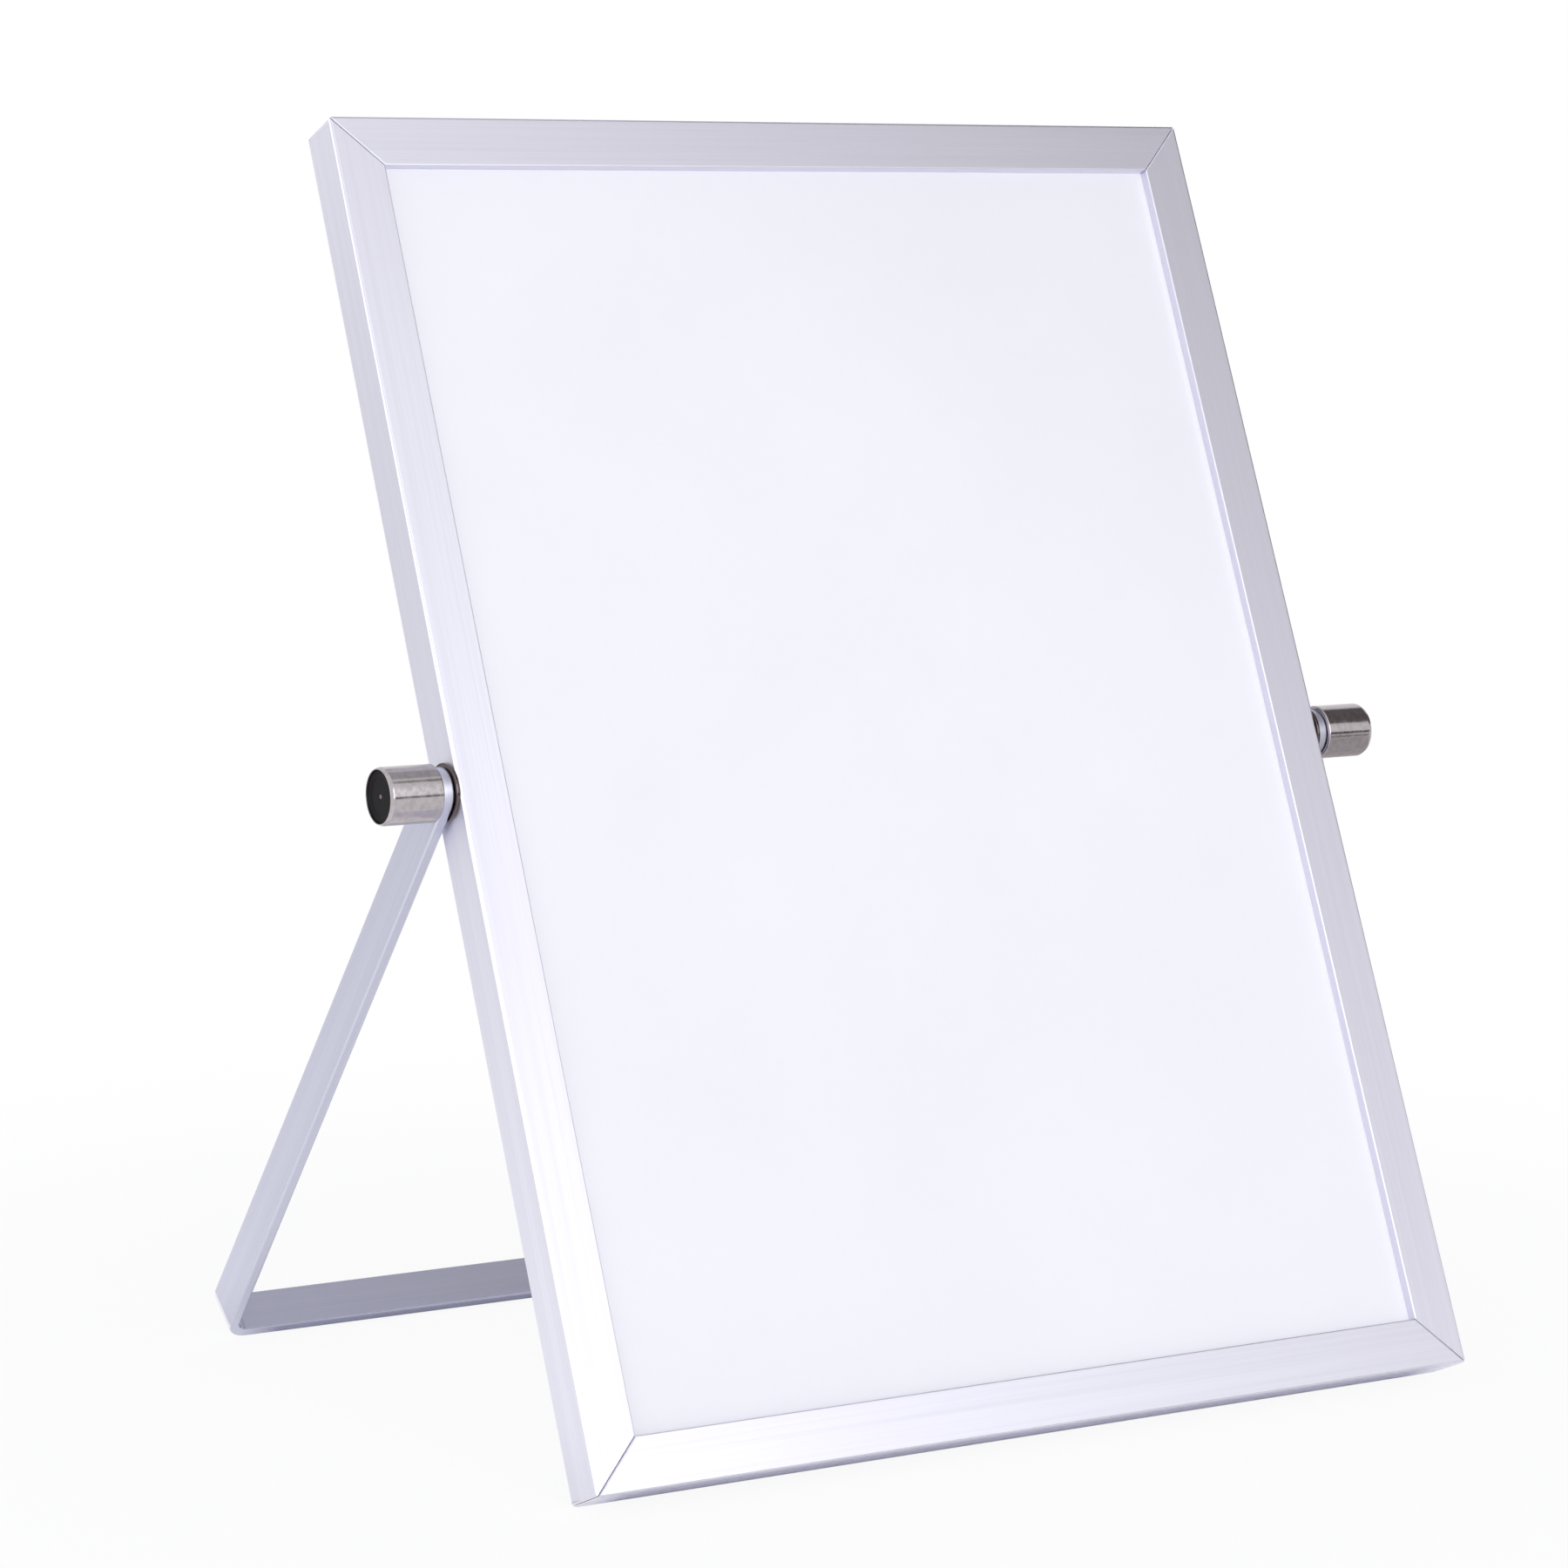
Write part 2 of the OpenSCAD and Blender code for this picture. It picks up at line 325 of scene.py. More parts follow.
def grown(name, tree, values):
    """The result of a geometry tree as a plain mesh object."""
    obj = new_object(name, bpy.data.meshes.new(name))
    modifier = obj.modifiers.new("Shape", "NODES")
    modifier.node_group = tree
    for item in tree.interface.items_tree:
        if item.in_out == "INPUT":
            modifier[item.identifier] = values[item.name]
    made_plain(obj)
    if not obj.data.polygons:
        raise RuntimeError(f"{name}: its geometry tree made no faces")
    # The tree leaves an empty slot in front of its material
    obj.data.materials.clear()
    obj.data.materials.append(values["Material"])
    obj.data.polygons.foreach_set("material_index", [0] * len(obj.data.polygons))
    return obj


def store_draw(obj, coordinates):
    """Keeps the place of each point along and across the drawn metal, for its die lines."""
    attribute = obj.data.attributes.new("draw", "FLOAT_VECTOR", "POINT")
    attribute.data.foreach_set("vector", coordinates.astype(np.float32).ravel())


def points_of(obj, place=None):
    """The vertices of a mesh, measured in the frame of a place where one is given."""
    places = np.empty(len(obj.data.vertices) * 3)
    obj.data.vertices.foreach_get("co", places)
    places = places.reshape(-1, 3)
    if place is None:
        return places
    back = np.array(place.inverted())
    return places @ back[:3, :3].T + back[:3, 3]


def between(depth, other, radius):
    """Which points lie on the round of an edge, by their depths under its two faces."""
    least, most = SLACK, radius - SLACK
    return (depth > least) & (depth < most) & (other > least) & (other < most)


def store_mask(obj, name, chosen):
    """Keeps which points a finish treats apart: wear on rounded edges, a painted highlight outside
    a bend.
    """
    attribute = obj.data.attributes.new(name, "FLOAT", "POINT")
    attribute.data.foreach_set("value", chosen.astype(np.float32))


def finished(obj, place, broken_edge=0.0, steps=2):
    """Puts a mesh in its place, breaks its sharp edges and smooths its shading."""
    obj.data.transform(place)
    merge = bmesh.new()
    merge.from_mesh(obj.data)
    bmesh.ops.remove_doubles(merge, verts=merge.verts, dist=0.002 * MM)
    merge.to_mesh(obj.data)
    merge.free()
    if broken_edge:
        bevel = obj.modifiers.new("Broken edge", "BEVEL")
        bevel.limit_method = "ANGLE"
        bevel.angle_limit = math.radians(32)
        bevel.width = broken_edge
        bevel.segments = steps
        made_plain(obj)
    obj.data.polygons.foreach_set("use_smooth", [True] * len(obj.data.polygons))
    obj.data.set_sharp_from_angle(angle=math.radians(40))
    weighted = obj.modifiers.new("Flat faces stay flat", "WEIGHTED_NORMAL")
    weighted.keep_sharp = True
    return made_plain(obj)


def rounded(corners, facets=6):
    """A closed outline of (x, y, radius) corners with each corner rounded off."""
    outline = []
    for i, (x, y, radius) in enumerate(corners):
        here = Vector((x, y))
        before = (Vector(corners[i - 1][:2]) - here).normalized()
        after = (Vector(corners[(i + 1) % len(corners)][:2]) - here).normalized()
        half = before.angle(after) / 2
        if radius <= 0 or half > math.radians(89):
            outline.append(here)
            continue
        reach = radius / math.tan(half)
        centre = here + (before + after).normalized() * radius / math.sin(half)
        start, end = here + before * reach - centre, here + after * reach - centre
        sweep = start.angle_signed(end)
        for k in range(facets + 1):
            outline.append(
                centre + Matrix.Rotation(-sweep * k / facets, 2) @ start
            )
    return outline


def turned(name, corners, steps, material, facets=6):
    """A turned part about +Z from a closed outline of (radius, height, fillet) corners."""
    shape = bmesh.new()
    angles = [math.tau * k / steps for k in range(steps)]
    rings = []
    for reach, height in rounded(corners, facets):
        if reach < SLACK:
            rings.append([shape.verts.new((0, 0, height))] * steps)
            continue
        spots = [(reach * math.cos(a), reach * math.sin(a), height) for a in angles]
        rings.append([shape.verts.new(spot) for spot in spots])
    for lower, upper in zip(rings, rings[1:] + rings[:1]):
        if lower[0] is lower[1] and upper[0] is upper[1]:
            continue
        for k in range(steps):
            j = (k + 1) % steps
            # On the axis the ring is a single point, so the face is a triangle
            shape.faces.new(tuple(dict.fromkeys((lower[k], lower[j], upper[j], upper[k]))))
    bmesh.ops.recalc_face_normals(shape, faces=shape.faces)
    return new_object(name, as_mesh(name, shape, material))


def flat_ring(bore, outer, low, high):
    """The outline of a flat turned ring with softened edges."""
    inside, outside = 0.1 * MM, 0.15 * MM
    return [
        (bore, low, inside),
        (outer, low, outside),
        (outer, high, outside),
        (bore, high, inside),
    ]


def joined(name, parts):
    """Several objects of one material as one."""
    shape = bmesh.new()
    for part in parts:
        shape.from_mesh(part.data)
    mesh = as_mesh(name, shape, *parts[0].data.materials)
    for part in parts:
        bpy.data.objects.remove(part)
    return new_object(name, mesh)


# ---- Finishes ----


def finish_of(name, base, metallic, roughness, **sockets):
    """A material, its main shader with what is the same all over, and put() for its tree."""
    material = bpy.data.materials.new(name)
    material.use_nodes = True
    shader = material.node_tree.nodes["Principled BSDF"]
    shader.inputs["Base Color"].default_value = (*base, 1)
    shader.inputs["Metallic"].default_value = metallic
    shader.inputs["Roughness"].default_value = roughness
    for key, value in sockets.items():
        shader.inputs[key.replace("_", " ")].default_value = value
    return material, shader, partial(put, material.node_tree)


def tones(base, share):
    """Two colours a little below and above a base colour."""
    return (
        (*[c * (1 - share) for c in base], 1),
        (*[min(1.0, c * (1 + share)) for c in base], 1),
    )


def streaks(add, place, size, **feeds):
    """A noise drawn out to a size along X, Y and Z."""
    scale = tuple(1 / reach for reach in size)
    scaled = add("ShaderNodeMapping", {"Vector": place, "Scale": scale})
    return add(NOISE, {"Vector": scaled, "Scale": 1.0, **feeds})


def vary(shader, base, share, tone, stops=(0.3, 0.7), rough=None, reliefs=()):
    """Lets patterns vary a finish: its tone, its roughness and its relief.

    The pattern's values at the stops give the darkest and the lightest tone, a share below and
    above the base colour. Rough is a pattern with the roughness at 0 and 1, and each relief is a
    pattern with its strength and its height.
    """
    tree = shader.id_data
    ramp = put(tree, "ShaderNodeValToRGB", {"Fac": tone})
    for stop, position, shade in zip(ramp.color_ramp.elements, stops, tones(base, share)):
        stop.position, stop.color = position, shade
    tree.links.new(ramp.outputs["Color"], shader.inputs["Base Color"])
    if rough:
        ends = put(tree, "ShaderNodeMapRange", dict(zip(("Value", "To Min", "To Max"), rough)))
        tree.links.new(ends.outputs["Result"], shader.inputs["Roughness"])
    below = {}
    for pattern, strength, height in reliefs:
        feeds = {"Height": pattern, "Strength": strength, "Distance": height, **below}
        below = {"Normal": put(tree, "ShaderNodeBump", feeds)}
    tree.links.new(below["Normal"].outputs["Normal"], shader.inputs["Normal"])


def satin_anodised(name, base, roughness):
    """Extruded aluminium, etched and clear anodised: a soft, cold satin with faint die lines."""
    material, shader, add = finish_of(name, base, 1.0, roughness)
    draw = add("ShaderNodeAttribute", attribute_name="draw").outputs["Vector"]
    # Die lines are some 0.1 mm apart. They are drawn 0.7 mm apart and 90 mm long, to show at all.
    line = streaks(add, draw, (0.7 * MM, 0.7 * MM, 90 * MM), Detail=2.0)
    # Broader bands, about 4 mm wide, where the die has worn
    band = streaks(add, draw, (4 * MM, 4 * MM, 400 * MM), Detail=1.0)
    # The etch leaves a grain of about 0.25 mm
    grain = add(NOISE, {"Vector": draw, "Scale": 1 / (0.25 * MM), "Detail": 2.0})
    mixed = add(MATH, {0: line, 1: band}, operation="ADD")
    half = add(MATH, {0: mixed, 1: 0.5}, operation="MULTIPLY")
    reliefs = (line, 0.5, 0.006 * MM), (grain, 0.35, 0.005 * MM)
    vary(shader, base, 0.035, half, (0.35, 0.65), reliefs=reliefs)
    # Painted highlight: on the outside of a bend a paler colour stands in for the floor's
    # reflection there
    skin = shader.inputs["Base Color"]
    stretch = add("ShaderNodeAttribute", attribute_name="stretch").outputs["Fac"]
    feeds = {0: stretch, 6: skin.links[0].from_socket, 7: (*linear("#EEEEF4"), 1)}
    coat = add("ShaderNodeMix", feeds, data_type="RGBA")
    links = shader.id_data.links
    links.new(coat.outputs[2], skin)
    # Handling has smoothed the rounded edges
    feeds = {"Value": half, "From Min": 0.3, "From Max": 0.7}
    feeds |= {"To Min": roughness + 0.04, "To Max": roughness - 0.04}
    rough = add("ShaderNodeMapRange", feeds)
    wear = add("ShaderNodeAttribute", attribute_name="wear").outputs["Fac"]
    worn = add(MATH, {0: wear, 1: -0.22, 2: rough}, operation="MULTIPLY_ADD")
    links.new(worn.outputs[0], shader.inputs["Roughness"])
    return material


def glossy_enamel(name, base):
    """Enamelled steel: a hard, glossy, cold white glass coat with the faintest orange peel."""
    material, shader, add = finish_of(name, base, 0.0, 0.13, IOR=1.5)
    place = add("ShaderNodeTexCoord").outputs["Object"]
    cloud = add(NOISE, {"Vector": place, "Scale": 1 / (70 * MM), "Detail": 2.0})
    # Orange peel waves are about 2.5 mm across and a few micrometres high
    peel = add(NOISE, {"Vector": place, "Scale": 1 / (2.5 * MM), "Detail": 1.0})
    reliefs = [(peel, 0.3, 0.008 * MM)]
    vary(shader, base, 0.012, cloud, rough=(cloud, 0.11, 0.16), reliefs=reliefs)
    return material


def bright_plating(name, base):
    """Turned and plated steel: a hard mirror over faint tool rings and a few small pits."""
    material, shader, add = finish_of(name, base, 1.0, 0.12)
    place = add("ShaderNodeTexCoord").outputs["Object"]
    # The tool's feed leaves rings 0.15 mm apart along X, drawn 0.4 mm apart to show
    ring = streaks(add, place, (0.4 * MM, 9 * MM, 9 * MM), Detail=2.0)
    # Uneven plating, in patches about 1.5 mm across
    patch = add(NOISE, {"Vector": place, "Scale": 1 / (1.5 * MM), "Detail": 3.0})
    reliefs = (ring, 0.4, 0.004 * MM), (patch, 0.5, 0.03 * MM)
    vary(shader, base, 0.07, patch, (0.35, 0.6), (patch, 0.08, 0.22), reliefs)
    return material


def moulded(name, base, roughness, grain, gloss, height):
    """Moulded plastic or rubber: dull, with the fine spark-eroded grain of its mould."""
    feeds = {"Specular_IOR_Level": gloss}
    material, shader, add = finish_of(name, base, 0.0, roughness, **feeds)
    place = add("ShaderNodeTexCoord").outputs["Object"]
    feeds = {"Vector": place, "Scale": 1 / grain, "Detail": 3.0}
    spark = add(NOISE, feeds)
    vary(shader, base, 0.18, spark, reliefs=[(spark, 0.4, height)])
    return material


def dull_metal(name, base, roughness, grain, height):
    """Zinc plated steel or a zinc casting: a dull bluish grey, mottled and slightly rough."""
    material, shader, add = finish_of(name, base, 1.0, roughness)
    place = add("ShaderNodeTexCoord").outputs["Object"]
    spangle = add("ShaderNodeTexVoronoi", {"Vector": place, "Scale": 1 / (grain * 4)})
    skin = add(NOISE, {"Vector": place, "Scale": 1 / grain, "Detail": 3.0})
    rough = skin, roughness - 0.08, roughness + 0.1
    reliefs = [(skin, 0.5, height)]
    vary(shader, base, 0.15, spangle.outputs["Color"], (0.0, 1.0), rough, reliefs)
    return material


def pressed_fibre(name, base):
    """Pressed wood fibre: matt brown felt of fibres a millimetre or two long."""
    material, shader, add = finish_of(name, base, 0.0, 0.85)
    place = add("ShaderNodeTexCoord").outputs["Object"]
    size = 0.3 * MM, 0.3 * MM, 2 * MM
    strand = streaks(add, place, size, Detail=4.0, Distortion=1.5)
    vary(shader, base, 0.3, strand, reliefs=[(strand, 0.6, 0.08 * MM)])
    return material


def paint_nodes(material, *nodes):
    """Gives carried-over CAD nodes their finish."""
    for name in nodes:
        mesh = frame["nodes"][name].data
        mesh.materials.clear()
        mesh.materials.append(material)


# ---- Frame ----

# Each input of the rail's tree that is the same on all four rails, with its setting
RAIL_SIZES = {
    "Lip width": "lip",
    "Depth": "depth",
    "Recess": "recess",
    "Wall": "wall",
    "Hollow": "hollow",
    "Edge radius": "edge",
    "Bead width": "bead",
    "Bead radius": "bead_edge",
    "Corner radius": "corner",
    "Mitre gap": "mitre_gap",
    "Groove": "groove",
}
RAIL_LENGTHS = {
    "Half": ("MULTIPLY", "Length", 0.5),
    "Minus half": ("MULTIPLY", "Length", -0.5),
    "Twice": ("MULTIPLY", "Length", 2.0),
    "Middle": ("MULTIPLY", "Lip width", 0.5),
    "Face": ("MULTIPLY", "Depth", 0.5),
    "Minus depth": ("MULTIPLY", "Depth", -1.0),
    # Where a mitre begins, and where it crosses the rail's middle
    "Half gap": ("MULTIPLY", "Mitre gap", 0.5),
    "End": ("SUBTRACT", "Half", "Half gap"),
    "Reach": ("SUBTRACT", "End", "Middle"),
    # The section from the outer face inwards: the wall, the hollow to the web, the panel's groove
    "Web": ("ADD", "Wall", "Hollow"),
    "Floor": ("ADD", "Web", "Wall"),
    "Beads": ("SUBTRACT", "Lip width", "Bead width"),
    "Past": ("ADD", "Lip width", 1 * MM),
    # and through its depth: inside its walls, and between its lips
    "Walls": ("MULTIPLY", "Wall", 2.0),
    "Inside": ("SUBTRACT", "Depth", "Walls"),
    "Recesses": ("MULTIPLY", "Recess", 2.0),
    "Panel": ("SUBTRACT", "Depth", "Recesses"),
    "Hole radius": ("MULTIPLY", "Hole", 0.5),
    "Drill": ("MULTIPLY", "Wall", 4.0),
    "Chisel": ("MULTIPLY", "Lip width", 4.0),
}


def rail_tree():
    """A length of hollow extrusion along Z with its outer face at X = 0.

    It is mitred at both ends, and drilled for the pivot bolt.
    """
    tree, at = sized_tree("Mitred rail", ("Length", *RAIL_SIZES, "Hole"), RAIL_LENGTHS)
    add = partial(put, tree)

    # The section: a rectangle, round on its outer corners and along its beads
    feeds = {"Width": at["Lip width"], "Height": at["Depth"]}
    outline = add("GeometryNodeCurvePrimitiveQuadrilateral", feeds)
    across = add("ShaderNodeSeparateXYZ", {0: add("GeometryNodeInputPosition")})
    outer = add("FunctionNodeCompare", {0: across.outputs[0], 1: 0.0}, operation="LESS_THAN")
    feeds = {"Switch": outer, "False": at["Bead radius"], "True": at["Edge radius"]}
    radius = add("GeometryNodeSwitch", feeds, input_type="FLOAT")
    feeds = {"Curve": outline, "Count": 12, "Radius": radius, "Limit Radius": True}
    filleted = add("GeometryNodeFilletCurve", feeds, mode="POLY")
    shift = add(XYZ, {0: at["Middle"]})
    section = add(MOVE, {"Geometry": filleted, "Translation": shift})
    bar = prism(add, section, at["Minus half"], at["Half"])
    # The mitre: each end moves in by its distance from the outer face
    place = add("ShaderNodeSeparateXYZ", {0: add("GeometryNodeInputPosition")}).outputs
    inward = add(MATH, {0: at["End"], 1: place[0]}, operation="SUBTRACT")
    sign = add(MATH, {0: place[2]}, operation="SIGN")
    moved = add(MATH, {0: sign, 1: inward}, operation="MULTIPLY")
    spot = add(XYZ, {0: place[0], 1: place[1], 2: moved})
    mitred = add("GeometryNodeSetPosition", {"Geometry": bar, "Position": spot})
    # The board's rounded outline takes the point off each corner
    feeds = {"Width": at["Length"], "Height": at["Length"]}
    board = add("GeometryNodeCurvePrimitiveQuadrilateral", feeds)
    feeds = {"Curve": board, "Count": 8, "Radius": at["Corner radius"]}
    soft = add("GeometryNodeFilletCurve", feeds, mode="POLY")
    slab = prism(add, soft, at["Minus depth"], at["Depth"])
    spot = add(XYZ, {0: at["Half"]})
    feeds = {"Geometry": slab, "Translation": spot, "Rotation": (math.pi / 2, 0, 0)}
    feeds = {"Mesh 2": [mitred, add(MOVE, feeds)]}
    softened = add("GeometryNodeMeshBoolean", feeds, operation="INTERSECT", solver="EXACT")
    # The hollow for the corner keys, and the panel's groove, behind the beads and between them
    cutters = []
    for start, end, thick in (
        ("Wall", "Web", "Inside"),
        ("Floor", "Beads", "Inside"),
        ("Floor", "Past", "Panel"),
    ):
        ends = {0: at[end], 1: at[start]}
        wide = add(MATH, ends, operation="SUBTRACT")
        total = add(MATH, ends, operation="ADD")
        middle = add(MATH, {0: total, 1: 0.5}, operation="MULTIPLY")
        size = add(XYZ, {0: wide, 1: at[thick], 2: at["Twice"]})
        cube = add("GeometryNodeMeshCube", {"Size": size})
        move = add(XYZ, {0: middle})
        cutters.append(add(MOVE, {"Geometry": cube, "Translation": move}))
    # The bolt hole, in the rails that have one
    feeds = {"Vertices": 64, "Radius": at["Hole radius"], "Depth": at["Drill"]}
    drill = add("GeometryNodeMeshCylinder", feeds)
    hole = add(MOVE, {"Geometry": drill, "Rotation": (0, math.pi / 2, 0)})
    has_hole = add("FunctionNodeCompare", {0: at["Hole"], 1: 0.0}, operation="GREATER_THAN")
    feeds = {"Switch": has_hole, "True": hole}
    cutters.append(add("GeometryNodeSwitch", feeds, input_type="GEOMETRY"))
    # Each mitre's edges are broken, which leaves a shallow groove along it in both faces
    square = add(XYZ, {0: at["Chisel"], 1: at["Groove"], 2: at["Groove"]})
    chisel = add("GeometryNodeMeshCube", {"Size": square})
    for along, through in ((1, 1), (1, -1), (-1, 1), (-1, -1)):
        height = add(MATH, {0: at["Face"], 1: through}, operation="MULTIPLY")
        far = add(MATH, {0: at["Reach"], 1: along}, operation="MULTIPLY")
        spot = add(XYZ, {0: at["Middle"], 1: height, 2: far})
        turn = (math.pi / 4, along * math.pi / 4, 0)
        feeds = {"Geometry": chisel, "Translation": spot, "Rotation": turn}
        cutters.append(add(MOVE, feeds))
    feeds = {"Mesh 1": softened, "Mesh 2": cutters}
    cut = add("GeometryNodeMeshBoolean", feeds, operation="DIFFERENCE", solver="EXACT")
    return close_tree(tree, at, cut)


class EASEL_OT_frame(bpy.types.Operator):
    """Builds the four mitred lengths of extrusion"""

    bl_idname = "easel.build_frame"
    bl_label = "Frame"

    def execute(self, context):
        s = context.scene.easel_frame
        colours = context.scene.easel_finish
        values = {label: getattr(s, setting) for label, setting in RAIL_SIZES.items()}
        values["Material"] = satin_anodised("Aluminium, clear anodised", colours.aluminium, 0.46)
        tree = rail_tree()
        # Each rail: its turn about the board's centre, its distance, its length and its hole
        rails = {
            "left_stile": ((0, "Z"), s.width, s.height, s.bolt_hole),
            "right_stile": ((180, "Z"), s.width, s.height, s.bolt_hole),
            "bottom_rail": ((-90, "Y"), s.height, s.width, 0.0),
            "top_rail": ((90, "Y"), s.height, s.width, 0.0),
        }
        for index, (name, (turn, span, long, hole)) in enumerate(rails.items()):
            sizes = {**values, "Length": long, "Hole": hole}
            rail = grown("rail_" + name, tree, sizes)
            store_draw(rail, points_of(rail) + (0, 0, index))
            place = (
                on_board()
                @ Matrix.Rotation(math.radians(turn[0]), 4, turn[1])
                @ Matrix.Translation((-span / 2, 0, 0))
            )
            finished(rail, place, s.deburr)
            x, y, z = points_of(rail, place).T
            store_mask(rail, "wear", between(s.depth / 2 - abs(y), x, s.edge))
            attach(rail, "board")
            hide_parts("frame_" + name)
        key = dull_metal("Zinc, die-cast", colours.casting, 0.5, 0.4 * MM, 0.03 * MM)
        paint_nodes(key, *[n for n in frame["nodes"] if n.startswith("corner_key")])
        return {"FINISHED"}


# ---- Writing panel ----


class EASEL_OT_panel(bpy.types.Operator):
    """Gives the two enamelled sheets and the core their finishes"""

    bl_idname = "easel.build_panel"
    bl_label = "Writing panel"

    def execute(self, context):
        colours = context.scene.easel_finish
        enamel = glossy_enamel("Steel, enamelled", colours.enamel)
        paint_nodes(enamel, "front_sheet", "rear_sheet")
        paint_nodes(pressed_fibre("Fibreboard", colours.fibre), "core_board")
        return {"FINISHED"}


# ---- Stand ----

# Each input of the strip's tree that has a setting
STRIP_SIZES = {
    "Leg length": "leg",
    "Width": "width",
    "Thickness": "thickness",
    "Bend radius": "bend",
    "Hole": "hole",
}
STRIP_LENGTHS = {
    "Minus span": ("MULTIPLY", "Half span", -1.0),
    "Half": ("MULTIPLY", "Thickness", 0.5),
    "Drop": ("SUBTRACT", "Half", "Leg length"),
    "Middle radius": ("ADD", "Bend radius", "Half"),
    "End radius": ("MULTIPLY", "Width", 0.5),
    "Hole radius": ("MULTIPLY", "Hole", 0.5),
    "Drill": ("MULTIPLY", "Thickness", 2.0),
}


def strip_tree():
    """A flat strip bent into a U, X across and the legs down -Z, with round drilled ends."""
    tree, at = sized_tree("Bent strip", ("Half span", *STRIP_SIZES), STRIP_LENGTHS)
    add = partial(put, tree)
    tips = at["Minus span"], at["Half span"]

    # The path: down one leg, across and up the other, rounded at the bends
    corner = add("GeometryNodeIndexSwitch", data_type="VECTOR")
    corner.index_switch_items.new()
    corner.index_switch_items.new()
    index = add("GeometryNodeInputIndex")
    tree.links.new(index.outputs[0], corner.inputs["Index"])
    spots = {0: tips[0]}, {0: tips[0], 2: at["Drop"]}, {0: tips[1], 2: at["Drop"]}, {0: tips[1]}
    for k, feeds in enumerate(spots):
        place = add(XYZ, feeds)
        tree.links.new(place.outputs[0], corner.inputs[k + 1])
    points = add("GeometryNodePoints", {"Count": 4, "Position": corner})
    path = add("GeometryNodePointsToCurves", {"Points": points})
    feeds = {"Curve": path, "Count": 16, "Radius": at["Middle radius"]}
    bent = add("GeometryNodeFilletCurve", feeds, mode="POLY")
    feeds = {"Width": at["Thickness"], "Height": at["Width"]}
    section = add("GeometryNodeCurvePrimitiveQuadrilateral", feeds)
    feeds = {"Curve": bent, "Profile Curve": section, "Fill Caps": False}
    strip = add("GeometryNodeCurveToMesh", feeds)
    # The round end: half a disc, open where it meets the leg
    feeds = {"Resolution": 49, "Radius": at["End radius"], "Start Angle": 0.0}
    arc = add("GeometryNodeCurveArc", {**feeds, "Sweep Angle": math.pi}, mode="RADIUS")
    shut = add("GeometryNodeSetSplineCyclic", {0: arc, "Cyclic": True})
    face = add("GeometryNodeFillCurve", {"Curve": shut}, mode="NGONS")
    feeds = {"Mesh": face, "Offset Scale": at["Thickness"], "Individual": False}
    raised = add("GeometryNodeExtrudeMesh", feeds)
    back = add("GeometryNodeFlipFaces", {0: face})
    disc = add("GeometryNodeJoinGeometry", {0: [raised, back]})
    facing = add("ShaderNodeSeparateXYZ", {0: add("GeometryNodeInputNormal")})
    flat = add("FunctionNodeCompare", {0: facing.outputs[1], 1: -0.9}, operation="LESS_THAN")
    feeds = {"Geometry": disc, "Selection": flat}
    half_disc = add("GeometryNodeDeleteGeometry", feeds, domain="FACE")
    ends, holes = [], []
    for tip in tips:
        inner = add(MATH, {0: tip, 1: at["Half"]}, operation="SUBTRACT")
        start = add(XYZ, {0: inner})
        turn = (math.pi / 2, 0, math.pi / 2)
        feeds = {"Geometry": half_disc, "Translation": start, "Rotation": turn}
        ends.append(add(MOVE, feeds))
        feeds = {"Vertices": 64, "Radius": at["Hole radius"], "Depth": at["Drill"]}
        drill = add("GeometryNodeMeshCylinder", feeds)
        spot = add(XYZ, {0: tip})
        feeds = {"Geometry": drill, "Translation": spot, "Rotation": (0, math.pi / 2, 0)}
        holes.append(add(MOVE, feeds))
    whole = add("GeometryNodeJoinGeometry", {0: [strip, *ends]})
    welded = add("GeometryNodeMergeByDistance", {0: whole, "Distance": SLACK})
    feeds = {"Mesh 1": welded, "Mesh 2": holes}
    cut = add("GeometryNodeMeshBoolean", feeds, operation="DIFFERENCE", solver="EXACT")
    return close_tree(tree, at, cut)


class EASEL_OT_stand(bpy.types.Operator):
    """Builds the U-shaped strip stand"""

    bl_idname = "easel.build_stand"
    bl_label = "Stand"

    def execute(self, context):
        s = context.scene.easel_stand
        span = context.scene.easel_frame.width / 2 + LEG_IN + s.thickness / 2
        colours = context.scene.easel_finish
        values = {label: getattr(s, setting) for label, setting in STRIP_SIZES.items()}
        values["Half span"] = span
        values["Material"] = satin_anodised("Aluminium strip, clear anodised", colours.strip, 0.44)
        strip = grown("bent_strip", strip_tree(), values)
        # The die lines follow the strip down one leg, along the bar and up the other leg
        x, y, z = points_of(strip).T
        along = x + np.where(x > 0, 2 * s.leg + z, -z)
        through = np.minimum(span - abs(x), z + s.leg)
        store_draw(strip, np.stack([y, through, along], axis=1))
        finished(strip, on_stand(), s.edge, 4)
        # Where a point lies between the strip's two faces: 0 on its middle, also around the bends
        x, y, z = points_of(strip, on_stand()).T
        middle = s.bend + s.thickness / 2
        side, under = span - abs(x), z + s.leg - s.thickness / 2
        bent = middle - np.hypot(middle - side, middle - under)
        most = middle - 5 * SLACK
        in_bend = (side < most) & (under < most)
        through = np.where(in_bend, bent, np.minimum(side, under))
        rounds = between(s.thickness / 2 - abs(through), s.width / 2 - abs(y), s.edge)
        store_mask(strip, "wear", rounds)
        # Painted highlight: the paler colour goes on the outer tenth of the strip's thickness,
        # around the bends, in place of the floor's reflection
        store_mask(strip, "stretch", in_bend & (bent < -0.4 * s.thickness))
        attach(strip, "stand")
        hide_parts("stand_strip")
        return {"FINISHED"}


# ---- Pivots and knobs ----

